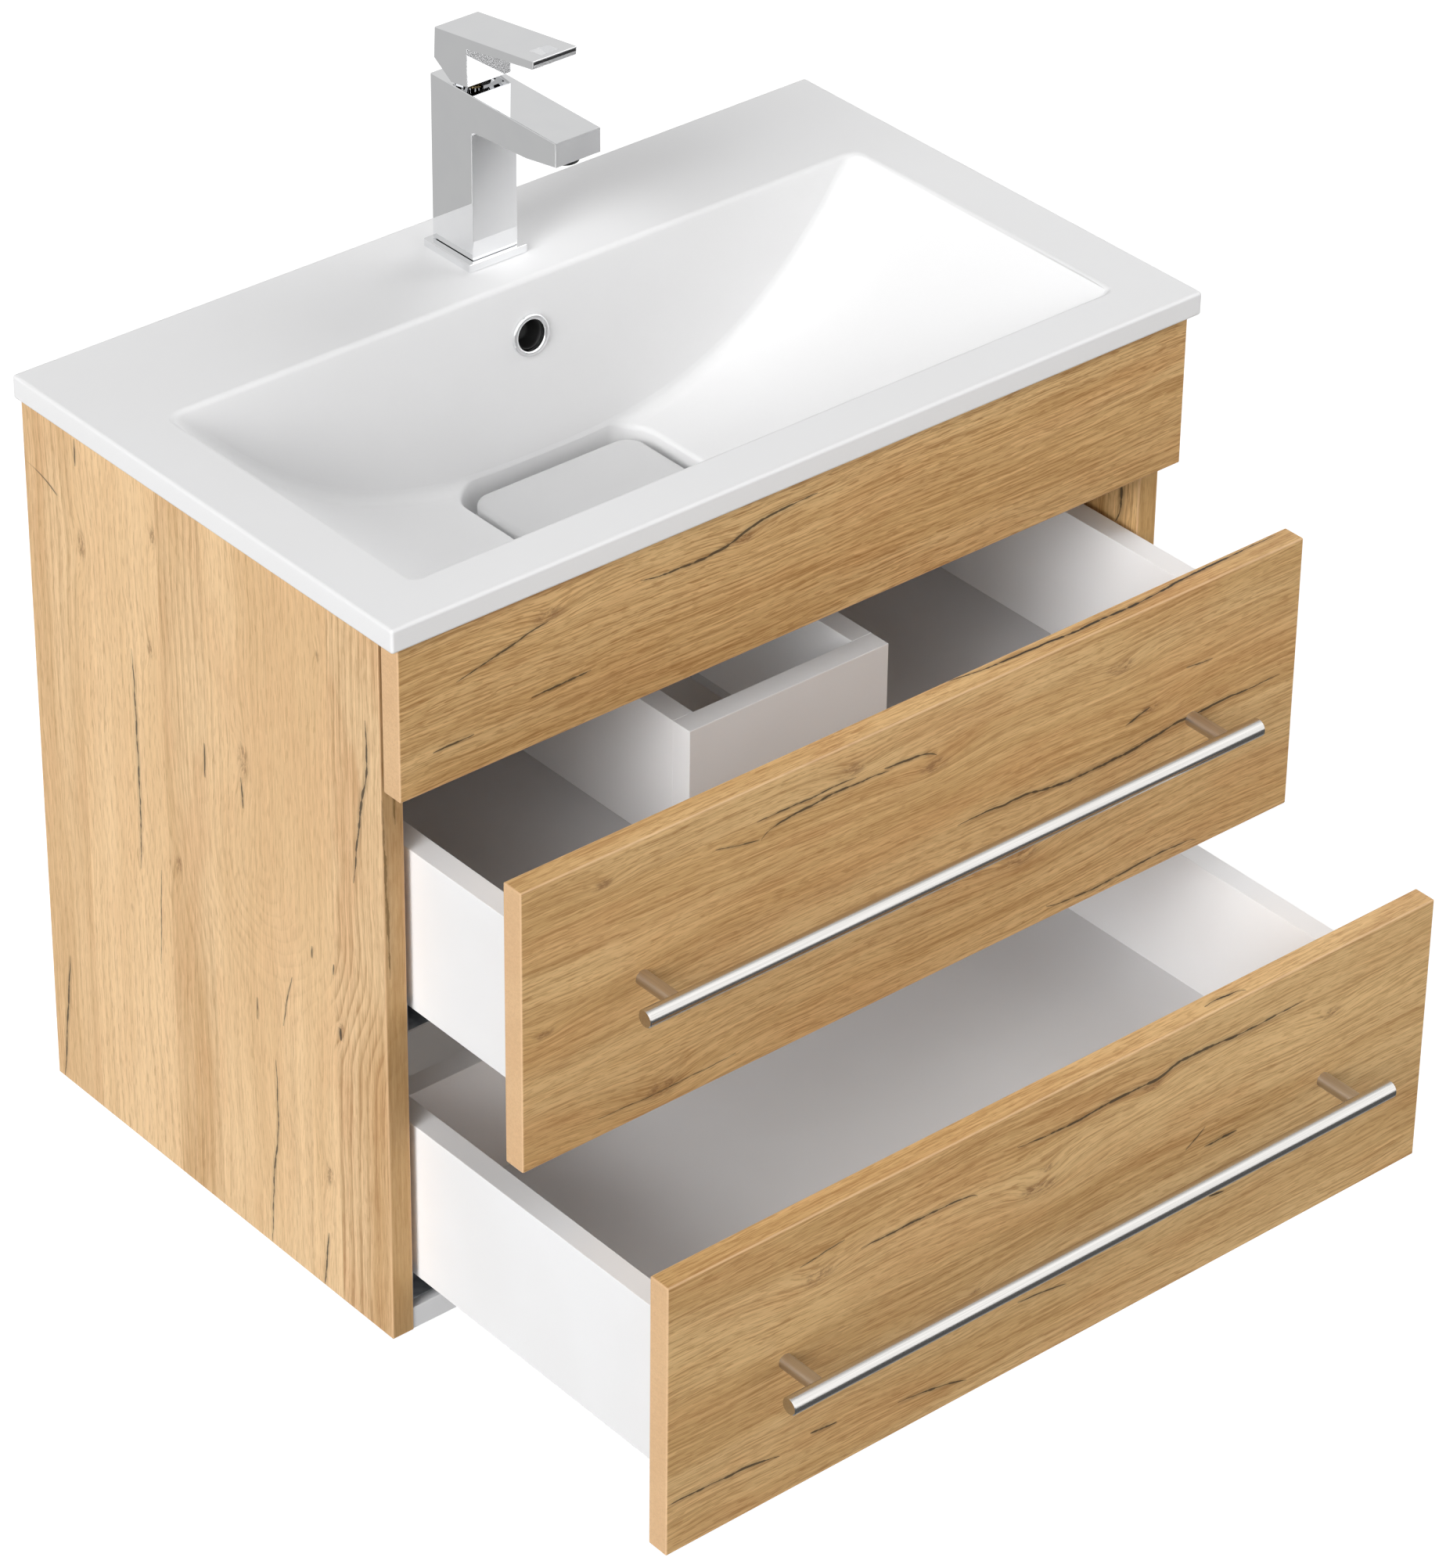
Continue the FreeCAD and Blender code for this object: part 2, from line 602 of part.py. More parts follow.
def handle(name, handle_z, out):
    """A round bar on two posts, with the screws that come through the front from behind."""
    bar_y = front_face_y - bar_stand_off
    bar = rod(bar_r, (-bar_len / 2, bar_y, handle_z), RIGHT, bar_len)
    bar = bar.makeChamfer(0.7, [e for e in bar.Edges if e.Closed])
    save(name + "_bar", moved(bar, out))
    posts = []
    screws = []
    screw_len = board + 12
    for x in (-post_spacing / 2, post_spacing / 2):
        post = rod(post_r, (x, front_face_y, handle_z), FRONT, bar_stand_off)
        post = post.cut(rod(bar_r, (x - 20, bar_y, handle_z), RIGHT, 40))
        post = post.cut(rod(screw_r, (x, front_face_y + 1, handle_z), FRONT, 14))
        posts.append(moved(max(post.Solids, key=lambda s: s.Volume), out))
        head = rod(screw_head_r, (x, front_back_y + screw_head_t, handle_z), FRONT, screw_head_t)
        shank = rod(screw_r, (x, front_back_y, handle_z), FRONT, screw_len)
        screws.append(moved(head.fuse(shank).removeSplitter(), out))
    save(name + "_posts", *posts)
    save(name + "_screws", *screws)


def top_drawer():
    drawer_front("top_drawer", top_front_z, handle_top_z, open_top)
    handle("top_handle", handle_top_z, open_top)
    floor = drawer_box("top_drawer", box_top_z, open_top)
    deck_z = box_top_z + deck_up
    wall_top = box_top_z + box_side_h
    pocket_outer_half = pocket_inner_half + board
    notch_front_y = pocket_front_y + board
    notch = block((-pocket_inner_half, pocket_inner_half), (notch_front_y, box_back_y + 10),
                  (box_top_z, deck_z + 10))
    save("top_drawer_bottom", moved(floor.cut(notch), open_top))
    pocket_front = block((-pocket_outer_half, pocket_outer_half), (pocket_front_y, notch_front_y),
                         (deck_z, wall_top), white_arris)
    save("pocket_front", moved(pocket_front, open_top))
    pocket_side = block((pocket_inner_half, pocket_outer_half), (notch_front_y, box_back_y),
                        (deck_z, wall_top), white_arris)
    pocket_side = moved(pocket_side, open_top)
    save("pocket_side_right", pocket_side)
    save("pocket_side_left", mirrored(pocket_side))
    back = block((pocket_outer_half, box_inner_half), (box_back_y - board, box_back_y),
                 (deck_z, wall_top - back_drop), white_arris)
    back = moved(back, open_top)
    save("top_drawer_back_right", back)
    save("top_drawer_back_left", mirrored(back))


def low_drawer():
    drawer_front("low_drawer", low_front_z, handle_low_z, open_low)
    handle("low_handle", handle_low_z, open_low)
    floor = drawer_box("low_drawer", box_low_z, open_low)
    save("low_drawer_bottom", moved(floor, open_low))
    deck_z = box_low_z + deck_up
    back = block((-box_inner_half, box_inner_half), (box_back_y - board, box_back_y),
                 (deck_z, box_low_z + box_side_h - back_drop), white_arris)
    save("low_drawer_back", moved(back, open_low))


# ---------------------------------------------------------------- runners
def channel(inward, height, low_z, y, opening_up):
    """A U section between two distances in from the side panel."""
    near, far = inward
    outer = block((inner_half - far, inner_half - near), y, height)
    low, high = height
    inner_z = (low + steel_t, high + 1) if opening_up else (low - 1, high - steel_t)
    inner = block((inner_half - far + steel_t, inner_half - near - steel_t), (y[0] - 5, y[1] + 5), inner_z)
    section = outer.cut(inner)
    section.translate(UP * low_z)
    return section


def runners(name, low_z, out):
    """Undermount runners: a fixed member, a middle member and the drawer's own member."""
    front = runner_front_y
    web_low = -18.0
    near = box_outer_half - box_side_t
    channel_near = inner_half - near + 2.0
    channel_far = channel_near + 21.0
    fixed_y = (front, front + runner_len)
    rise = channel((channel_near, channel_far), (web_low, -2.0), low_z, fixed_y, True)
    web_z = (low_z + web_low, low_z + web_low + steel_t)
    web = block((inner_half - channel_near - 1, inner_half), fixed_y, web_z)
    flange = block((inner_half - steel_t, inner_half), fixed_y, (low_z + web_low, low_z + 8))
    fixed = rise.fuse([web, flange]).removeSplitter()
    hole_z = low_z + 1.0
    holes_y = (front + 37, front + 261)
    for y in holes_y:
        fixed = fixed.cut(rod(2.6, (inner_half + 1, y, hole_z), RIGHT * -1, 6))
    save(name + "_runner_cabinet", *both_sides(fixed))

    gap = steel_t + runner_slack
    middle_low = web_low + gap
    middle_front = front
    middle = channel((channel_near + gap, channel_far - gap), (middle_low, 3.0), low_z,
                     (middle_front, middle_front + middle_len), True)
    save(name + "_runner_middle", *both_sides(moved(middle, out / 2)))

    legs_near = channel_near + 2 * gap
    legs_far = channel_far - 2 * gap
    legs = channel((legs_near, legs_far), (middle_low + gap, floor_up), low_z,
                   (front, front + member_len), False)
    plate = block((inner_half - channel_far - 2, inner_half - channel_near), (front, front + member_len),
                  (low_z + floor_up - steel_t, low_z + floor_up))
    save(name + "_runner_drawer", *both_sides(moved(legs.fuse(plate).removeSplitter(), out)))

    screws = []
    for y in holes_y:
        head = rod(3.9, (inner_half - steel_t - 1.8, y, hole_z), RIGHT, 1.8)
        shank = rod(screw_hole_r, (inner_half - steel_t, y, hole_z), RIGHT, steel_t)
        screws += both_sides(head.fuse(shank).removeSplitter())
    return screws


os.makedirs("parts", exist_ok=True)
carcass()
fascia_brackets()
wall_hangers()
save("basin", basin())
save("drain_cover", drain_cover())
save("overflow_ring", overflow_ring())
tap()
cartridge()
lever()
tap_fixing()
waste_and_trap()
top_drawer()
low_drawer()
runner_screws = runners("top", box_top_z, open_top) + runners("low", box_low_z, open_low)
save("runner_screws", *runner_screws)
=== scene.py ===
import json
from math import cos, pi, radians, sin

import bmesh
import bpy
from mathutils import Matrix, Vector


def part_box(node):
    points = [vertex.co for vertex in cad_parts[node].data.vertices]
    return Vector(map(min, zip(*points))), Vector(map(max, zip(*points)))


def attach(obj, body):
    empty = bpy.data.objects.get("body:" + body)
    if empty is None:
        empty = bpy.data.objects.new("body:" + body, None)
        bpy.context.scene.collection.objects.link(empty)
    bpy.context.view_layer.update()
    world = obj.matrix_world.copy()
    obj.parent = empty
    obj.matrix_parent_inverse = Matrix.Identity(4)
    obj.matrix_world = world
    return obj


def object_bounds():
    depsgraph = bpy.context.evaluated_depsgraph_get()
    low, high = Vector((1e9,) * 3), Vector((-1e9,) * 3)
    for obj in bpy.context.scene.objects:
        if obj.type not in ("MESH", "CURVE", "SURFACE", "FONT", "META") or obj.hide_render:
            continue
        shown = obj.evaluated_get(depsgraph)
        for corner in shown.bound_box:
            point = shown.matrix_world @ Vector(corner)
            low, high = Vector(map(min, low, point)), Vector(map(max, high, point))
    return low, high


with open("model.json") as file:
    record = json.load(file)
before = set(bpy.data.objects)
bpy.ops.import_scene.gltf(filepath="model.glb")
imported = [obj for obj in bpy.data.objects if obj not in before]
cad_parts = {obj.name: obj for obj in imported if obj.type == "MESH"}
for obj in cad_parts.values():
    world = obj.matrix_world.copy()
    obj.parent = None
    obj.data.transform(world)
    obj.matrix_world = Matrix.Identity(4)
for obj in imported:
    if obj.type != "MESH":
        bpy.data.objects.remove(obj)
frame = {"nodes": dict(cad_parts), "record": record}
cad_low, cad_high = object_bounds()

# Metres, in the frame of the CAD model: X to the right, the front faces -Y, Z up.
MM = 0.001


# ---------------------------------------------------------------- small node helpers
class Graph:
    """Builds a material's nodes with short calls."""

    def __init__(self, tree):
        self.tree = tree

    def node(self, kind, **values):
        made = self.tree.nodes.new(kind)
        for key, value in values.items():
            setattr(made, key, value)
        return made

    def put(self, socket, value):
        """Link an output to a socket, or set a plain number or colour on it."""
        if isinstance(value, bpy.types.NodeSocket):
            self.tree.links.new(value, socket)
        elif value is not None:
            socket.default_value = value

    def math(self, operation, a, b=None, c=None, clamp=False):
        made = self.node("ShaderNodeMath", operation=operation, use_clamp=clamp)
        for socket, value in zip(made.inputs, (a, b, c)):
            self.put(socket, value)
        return made.outputs[0]

    def times(self, a, b, clamp=False):
        return self.math("MULTIPLY", a, b, clamp=clamp)

    def vector(self, operation, a, b=None):
        made = self.node("ShaderNodeVectorMath", operation=operation)
        self.put(made.inputs[0], a)
        if b is not None:
            self.put(made.inputs[1], b)
        return made.outputs["Value" if operation in ("DOT_PRODUCT", "LENGTH") else "Vector"]

    def scaled(self, place, factors, shift=(0, 0, 0)):
        """A place stretched along each axis and moved."""
        stretched = self.vector("MULTIPLY", place, factors)
        return self.vector("ADD", stretched, shift)

    def noise(self, place, scale, detail=2.0, rough=0.5):
        made = self.node("ShaderNodeTexNoise")
        self.put(made.inputs["Vector"], place)
        made.inputs["Scale"].default_value = scale
        made.inputs["Detail"].default_value = detail
        made.inputs["Roughness"].default_value = rough
        return made.outputs["Fac"]

    def span(self, value, low, high, out_low=0.0, out_high=1.0, smooth=True):
        """The value's place between low and high, as a number from out_low to out_high."""
        made = self.node("ShaderNodeMapRange")
        made.interpolation_type = "SMOOTHSTEP" if smooth else "LINEAR"
        made.clamp = True
        for socket, one in zip(made.inputs, (value, low, high, out_low, out_high)):
            self.put(socket, one)
        return made.outputs[0]

    def mix(self, share, a, b):
        made = self.node("ShaderNodeMix", data_type="RGBA")
        self.put(made.inputs[0], share)
        self.put(made.inputs[6], a)
        self.put(made.inputs[7], b)
        return made.outputs[2]

    def split(self, place):
        made = self.node("ShaderNodeSeparateXYZ")
        self.put(made.inputs[0], place)
        return made.outputs

    def join(self, x, y, z):
        made = self.node("ShaderNodeCombineXYZ")
        for socket, value in zip(made.inputs, (x, y, z)):
            self.put(socket, value)
        return made.outputs[0]

    def bump(self, height, strength, distance):
        made = self.node("ShaderNodeBump")
        made.inputs["Strength"].default_value = strength
        made.inputs["Distance"].default_value = distance
        self.put(made.inputs["Height"], height)
        return made.outputs[0]


def rgb(r, g, b):
    return (r, g, b, 1.0)


def tone(display):
    """The scene-linear value of a display grey between 0 and 1."""
    return ((display + 0.055) / 1.055) ** 2.4 if display > 0.04045 else display / 12.92


def tint(r, g, b):
    """The scene-linear colour of a display colour."""
    return (tone(r), tone(g), tone(b), 1.0)


def new_material(name):
    """A material with an empty graph, its shader and the place on the object."""
    made = bpy.data.materials.new(name)
    made.use_nodes = True
    graph = Graph(made.node_tree)
    shader = made.node_tree.nodes["Principled BSDF"]
    place = graph.node("ShaderNodeTexCoord").outputs["Object"]
    return made, graph, shader, place


# ---------------------------------------------------------------- oak
CRACK = tint(0.24, 0.20, 0.15)
# Pale oak for the board ends that look along X, and painted highlight along every arris.
PALE_ENDS_AND_ARRIS_HIGHLIGHT = tint(0.90, 0.75, 0.59)
# Painted shade: deep brown laid halfway over the front and back edges of upright boards.
FRONT_EDGE_SHADE = tint(0.72, 0.56, 0.33)
KNOT = tint(0.50, 0.34, 0.21)

# Marks on the boards, in millimetres of the frame, as (along the grain, across it).
# A crack is its points and its width, and a knot is its place and its size.
LEFT_CRACKS = [
    ([(142, -67), (119, -66)], 0.9), ([(95, -2), (92, -19), (83, -41)], 1.8),
    ([(-5, -127), (-92, -129), (-197, -126)], 1.3), ([(-42, -214), (-72, -214)], 0.9),
    ([(-49, -258), (-75, -259)], 1.0),
    ([(74, -408), (45, -409), (-2, -401), (-70, -390)], 1.7),
    ([(-330, -25), (-451, -8)], 1.3), ([(-184, -153), (-271, -147)], 0.5),
    ([(-192, -312), (-242, -300)], 0.7), ([(-234, -269), (-254, -268)], 0.8),
    ([(-151, -338), (-162, -338)], 0.8), ([(-153, -364), (-163, -363)], 0.8),
    ([(-278, -289), (-324, -290), (-390, -282), (-452, -277)], 1.1),
    ([(-205, -370), (-216, -370)], 1.6), ([(-400, -349), (-453, -342)], 1.2),
]
LEFT_KNOTS = [
    ((-33, -262), 9), ((55, -69), 7), ((104, -160), 5), ((7, -151), 5), ((-168, -176), 6),
    ((100, -355), 3), ((-205, -371), 5), ((-345, -352), 6),
]
LEFT_EDGE_CRACKS = [
    ([(17, -366), (-24, -365), (-80, -363), (-135, -362)], 1.8), ([(24, -356), (-8, -355)], 1.0),
]
LEFT_STAVES = (-365, -218, -164, -60)
TOP_CRACKS = [
    ([(-155, -26), (-103, -15), (-37, -16)], 1.3), ([(-159, -9), (-68, -9)], 0.9),
    ([(-196, -16), (-156, -25)], 0.7), ([(-42, -13), (-7, -16), (8, -22)], 1.2),
    ([(30, -91), (89, -92), (161, -98), (225, -94), (269, -91), (351, -91)], 1.6),
    ([(193, -73), (217, -66)], 1.4), ([(252, -46), (279, -49)], 0.7),
    ([(121, -199), (175, -205), (229, -202), (273, -206)], 1.1),
    ([(-300, -196), (-242, -198), (-175, -197)], 0.5),
]
TOP_KNOTS = [
    ((6, -30), 8), ((-347, -103), 5), ((93, -145), 10), ((-72, -2), 8), ((-242, -196), 10),
    ((-295, -2), 5), ((217, -67), 6), ((186, -20), 8),
]
TOP_EDGE_CRACKS = [([(26, -558), (125, -567), (199, -568), (270, -564), (353, -562)], 1.5)]
FASCIA_CRACKS = [
    ([(-155, 122), (-118, 119), (-92, 119), (-56, 127), (-26, 132), (7, 133)], 1.5),
    ([(-317, 104), (-236, 122)], 1.2), ([(-252, 65), (-199, 67)], 1.2),
    ([(-338, 55), (-302, 56)], 1.0),
]
FASCIA_KNOTS = [((-236, 126), 8), ((-60, 121), 6)]
LOW_CRACKS = [
    ([(-365, -406), (-308, -408), (-264, -414)], 1.5), ([(-236, -409), (-211, -411)], 1.5),
    ([(-193, -267), (-172, -267), (-106, -269), (-84, -276)], 1.2),
    ([(-249, -256), (-208, -252)], 0.6), ([(-154, -423), (-115, -429), (-88, -437)], 1.3),
    ([(140, -336), (173, -337)], 1.4),
    ([(-48, -248), (9, -252), (54, -251), (83, -252), (115, -246), (182, -250), (235, -249)], 1.7),
    ([(121, -331), (140, -318)], 0.8), ([(148, -385), (164, -388)], 1.3),
    ([(-41, -390), (-18, -392), (7, -396)], 0.8),
]
LOW_KNOTS = [
    ((84, -256), 6), ((-23, -297), 10), ((-16, -281), 5), ((263, -274), 7), ((-33, -293), 5),
    ((-83, -359), 3), ((-232, -272), 9),
]
LOW_EDGE_CRACKS = [([(140, -727), (157, -726), (178, -730)], 1.3)]
RIGHT_CRACKS = [([(10, -404), (-9, -406), (-40, -401)], 1.8)]

# The layers of the oak's figure. Each is noise with so many features to a metre along the grain
# and across it, then its detail and its roughness.
OAK_LAYERS = {
    "drift": (4.0, 11.0, 3.0, 0.5),        # how the growth rings wander
    "ripple": (14.0, 60.0, 2.0, 0.5),      # how their edges waver
    "shown": (3.0, 13.0, 1.0, 0.5),        # where they show
    "zone": (1.8, 20.0, 2.0, 0.5),         # broad pale and deep streaks
    "patch": (7.0, 24.0, 3.0, 0.55),       # rosy patches
    "mottle": (34.0, 60.0, 3.0, 0.6),
    "band": (3.5, 170.0, 2.0, 0.5),        # streaks of a few millimetres
    "fibre": (14.0, 560.0, 3.0, 0.7),      # fine fibres
    "dash": (80.0, 900.0, 1.0, 0.5),       # open pores
    "rough": (120.0, 330.0, 3.0, 0.7),     # the ragged middle of a knot
    "sway": (42.0, 9.0, 4.0, 0.5),         # how a crack wavers
    "patchy": (110.0, 20.0, 2.0, 0.5),     # how its width changes
}
RING_STEP = 8.0                            # millimetres from one growth ring to the next
RING_DRIFT = 20.0
RING_RIPPLE = 4.0
CRACK_SWAY = 4.0
ARRIS_WIDTH = 1.5
PORE_DEPTH = 0.08


def crack(g, along, across, points, width, waver, patchy):
    """How dark a thin crack is: a wavering line through its points, tapered and patchy."""
    points = sorted(points)
    start, end = points[0][0], points[-1][0]
    levels = [level for _, level in points]
    low = min(levels)
    rise = max(max(levels) - low, 0.5)
    curve = g.node("ShaderNodeFloatCurve")
    line = curve.mapping.curves[0]
    for _ in points[2:]:
        line.points.new(0.5, 0.5)
    for knot, (where, level) in zip(line.points, points):
        knot.location = ((where - start) / (end - start), (level - low) / rise)
    curve.mapping.update()
    share = g.span(along, start * MM, end * MM, smooth=False)
    g.put(curve.inputs["Value"], share)
    middle = g.math("MULTIPLY_ADD", curve.outputs[0], rise * MM, low * MM)
    off = g.math("ABSOLUTE", g.math("SUBTRACT", g.math("ADD", across, waver), middle))
    room = g.times(g.times(share, g.math("SUBTRACT", 1.0, share)), 4.0)
    taper = g.math("POWER", room, 0.55)
    half = g.times(g.times(taper, patchy), 0.65 * width * MM)
    inside = g.span(g.math("SUBTRACT", half, off), -0.35 * MM, 0.15 * MM, smooth=False)
    core = g.times(inside, g.math("GREATER_THAN", taper, 0.02))
    halo = g.times(g.span(off, 0.0, 3.5 * width * MM, 0.34, 0.0), taper)
    return g.math("MAXIMUM", core, halo)


def nearness(g, along, across, spot, size):
    """How near a knot is, from 1 at its middle to 0 far away."""
    du = g.math("DIVIDE", g.math("SUBTRACT", along, spot[0] * MM), size * 2.4 * MM)
    dv = g.math("DIVIDE", g.math("SUBTRACT", across, spot[1] * MM), size * MM)
    far = g.math("MULTIPLY_ADD", du, du, g.times(dv, dv))
    return g.math("DIVIDE", 1.0, g.math("ADD", far, 1.0))


def arris(g, place, node, width):
    """Thin lines along the edges of a board: 1 where two of its faces are nearer than the width."""
    low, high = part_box(node)
    middle = [(a + b) / 2 for a, b in zip(low, high)]
    half = [(b - a) / 2 for a, b in zip(low, high)]
    inward = g.vector("ABSOLUTE", g.vector("SUBTRACT", place, middle))
    a, b, c = g.split(g.vector("SUBTRACT", half, inward))
    nearer, further = g.math("MINIMUM", a, b), g.math("MAXIMUM", a, b)
    second = g.math("MAXIMUM", nearer, g.math("MINIMUM", further, c))
    return g.span(second, 0.6 * width, width, 1.0, 0.0)


def oak_layer(g, place, name, shift):
    """One layer of the figure: noise stretched along the grain."""
    along, across, detail, rough = OAK_LAYERS[name]
    return g.noise(g.scaled(place, (along, across, across), shift), 1.0, detail, rough)


def looks_along(g, axis):
    """1 on the faces that look along an axis, either way, else 0."""
    normal = g.split(g.node("ShaderNodeNewGeometry").outputs["True Normal"])
    return g.math("GREATER_THAN", g.math("ABSOLUTE", normal[axis]), 0.5)


def growth_rings(g, grain, along, bent, trunk, shift):
    """How dark the growth rings are: lines along the board that close into arches down it."""
    centre, arch, opening = trunk
    depth = g.span(g.math("SUBTRACT", arch, along), 0.0, 0.15, 0.0, 0.11 * opening)
    side = g.math("SUBTRACT", bent, centre + RING_DRIFT / 2 * MM)
    reach = g.math("MULTIPLY_ADD", side, side, g.times(depth, depth))
    ripple = oak_layer(g, grain, "ripple", shift)
    reach = g.math("MULTIPLY_ADD", ripple, RING_RIPPLE * MM, g.math("SQRT", reach))
    ring = g.math("FRACT", g.times(reach, 1 / (RING_STEP * MM)))
    figure = g.math("MAXIMUM", g.math("POWER", ring, 3.0), g.span(ring, 0.0, 0.16, 1.0, 0.0))
    shown = g.span(oak_layer(g, grain, "shown", shift), 0.36, 0.60, 0.35, 1.0)
    return g.times(figure, shown)


def oak(node, upright, seed, pale, deep, trunk, cracks=(), knots=(), contrast=1.0,
        edge_cracks=(), staves=(), bold=0.18):
    """Oak-grain melamine for one board. The grain runs along Z on upright boards, else along X.

    The trunk is the middle of the growth rings across the board, the place along it below which
    they draw together into arches, and how far they do; bold is how dark the rings are. Staves
    are the joints across the board where one strip of the decor ends and the next begins.
    """
    made, g, shader, place = new_material("oak_" + node)
    x, y, z = g.split(place)
    along, across, third = (z, y, x) if upright else (x, z, y)
    shift = (seed * 1.7, seed * 0.9, seed * 0.37)

    drift = oak_layer(g, g.join(along, across, third), "drift", shift)
    bent = g.math("MULTIPLY_ADD", drift, RING_DRIFT * MM, across)
    for spot, size in knots:
        near = nearness(g, along, across, spot, size * 1.8)
        bent = g.math("MULTIPLY_ADD", near, 1.3 * size * MM, bent)
    stave = 0.0
    for joint in staves:
        stave = g.math("ADD", stave, g.math("GREATER_THAN", across, joint * MM))
    offset = g.times(stave, 0.73) if staves else 0.0
    grain = g.join(g.math("ADD", along, offset), bent, third)

    figure = growth_rings(g, grain, along, bent, trunk, shift)
    zone, mottle, band, fibre = (oak_layer(g, grain, name, shift)
                                 for name in ("zone", "mottle", "band", "fibre"))
    patch, dash = (oak_layer(g, grain, name, shift[::-1]) for name in ("patch", "dash"))

    dark = (0.54 * deep[0], 0.395 * deep[1], 0.25 * deep[2], 1.0)
    light = tuple(min(1.0, 1.16 * c) for c in pale[:3]) + (1.0,)
    rosy = (1.05 * deep[0], 0.93 * deep[1], 0.93 * deep[2], 1.0)
    layers = [                         # where each colour goes, how much of it, and the colour
        (g.span(patch, 0.46, 0.66), 0.40, rosy),
        (g.span(mottle, 0.50, 0.74), 0.16, dark),
        (figure, bold, dark),
        (g.span(band, 0.52, 0.68), 0.15 * contrast, dark),
        (g.span(band, 0.48, 0.32), 0.32 * contrast, light),
        (g.span(fibre, 0.51, 0.62), 0.46 * contrast, dark),
        (g.span(fibre, 0.47, 0.36), 0.46 * contrast, light),
    ]
    colour = g.mix(g.span(zone, 0.40, 0.60), deep, pale)
    for where, amount, ink in layers:
        colour = g.mix(g.times(where, amount), colour, ink)
    if staves:
        paler = g.times(g.math("FRACT", g.times(stave, 0.618)), 0.7)
        colour = g.mix(paler, colour, light)
    pore = g.times(g.span(dash, 0.53, 0.62), g.math("MULTIPLY_ADD", figure, 0.5, 0.5))
    colour = g.mix(g.times(pore, 0.60 * contrast), colour, dark)

    rough = oak_layer(g, grain, "rough", shift)
    for spot, size in knots:
        near = g.span(nearness(g, along, across, spot, 0.75 * size), 0.30, 0.85)
        blot = g.times(near, g.span(rough, 0.42, 0.60, 0.12, 0.62))
        colour = g.mix(blot, colour, KNOT)

    sway = oak_layer(g, grain, "sway", shift)
    waver = g.math("MULTIPLY_ADD", sway, CRACK_SWAY * MM, -CRACK_SWAY / 2 * MM)
    patchy = g.span(oak_layer(g, grain, "patchy", shift), 0.34, 0.58, 0.35, 1.2)
    on_edge = looks_along(g, 1 if upright else 2)
    for points, width in cracks:
        line = crack(g, along, across, points, width, waver, patchy)
        colour = g.mix(g.times(line, 0.9, clamp=True), colour, CRACK)
    for points, width in edge_cracks:
        line = crack(g, along, x if upright else y, points, width, waver, patchy)
        colour = g.mix(g.times(line, on_edge, clamp=True), colour, CRACK)

    # Painted shade: on upright boards the front and back edges are darkened halfway to deep brown.
    if upright:
        colour = g.mix(g.times(on_edge, 0.5), colour, FRONT_EDGE_SHADE)
    else:
        colour = g.mix(g.times(looks_along(g, 0), 0.75), colour, PALE_ENDS_AND_ARRIS_HIGHLIGHT)
    # Painted highlight: thin pale lines along every edge of the board, for light caught by the
    # rounded arrises.
    colour = g.mix(g.times(arris(g, place, node, ARRIS_WIDTH * MM), 0.5), colour, PALE_ENDS_AND_ARRIS_HIGHLIGHT)

    g.put(shader.inputs["Base Color"], colour)
    g.put(shader.inputs["Roughness"], g.span(band, 0.3, 0.7, 0.46, 0.56))
    shader.inputs["Specular IOR Level"].default_value = 0.30
    g.put(shader.inputs["Normal"], g.bump(g.times(pore, -1.0), 0.4, PORE_DEPTH * MM))
    return made


# ---------------------------------------------------------------- other surfaces
def white_melamine(name, brightness, seed):
    """White melamine foil: faintly pearled, with soft clouds of slightly different white."""
    made, g, shader, place = new_material(name)
    pearl = g.noise(g.scaled(place, (1.0, 1.0, 1.0), (seed, seed, 0)), 900.0, 2.0, 0.6)
    cloud = g.noise(place, 9.0, 2.0)
    shade = g.mix(g.span(cloud, 0.3, 0.7), tint(brightness, brightness, brightness + 0.004),
                  tint(brightness - 0.012, brightness - 0.014, brightness - 0.012))
    g.put(shader.inputs["Base Color"], shade)
    g.put(shader.inputs["Roughness"], g.span(pearl, 0.3, 0.7, 0.42, 0.52))
    shader.inputs["Specular IOR Level"].default_value = 0.3
    g.put(shader.inputs["Normal"], g.bump(pearl, 0.06, 0.05 * MM))
    return made


def cast_stone(name, brightness):
    """Satin gel-coated mineral cast."""
    made, g, shader, place = new_material(name)
    cloud = g.noise(place, 5.0, 3.0, 0.6)
    grit = g.noise(place, 1400.0, 2.0, 0.6)
    shade = g.mix(g.span(cloud, 0.3, 0.7), tint(brightness, brightness, brightness + 0.002),
                  tint(brightness - 0.007, brightness - 0.008, brightness - 0.007))
    g.put(shader.inputs["Base Color"], shade)
    g.put(shader.inputs["Roughness"], g.span(cloud, 0.3, 0.7, 0.46, 0.54))
    shader.inputs["Specular IOR Level"].default_value = 0.35
    g.put(shader.inputs["Normal"], g.bump(grit, 0.05, 0.03 * MM))
    return made


def chrome():
    """Polished chrome with the very slight unevenness of a plated casting."""
    made, g, shader, place = new_material("chrome_polished")
    uneven = g.noise(place, 14.0, 1.0)
    film = g.noise(place, 45.0, 2.0, 0.5)
    shade = g.mix(g.span(film, 0.3, 0.7), rgb(0.895, 0.90, 0.905), rgb(0.88, 0.885, 0.895))
    g.put(shader.inputs["Base Color"], shade)
    shader.inputs["Metallic"].default_value = 1.0
    g.put(shader.inputs["Roughness"], g.span(film, 0.3, 0.7, 0.015, 0.03))
    g.put(shader.inputs["Normal"], g.bump(uneven, 0.01, 0.2 * MM))
    return made


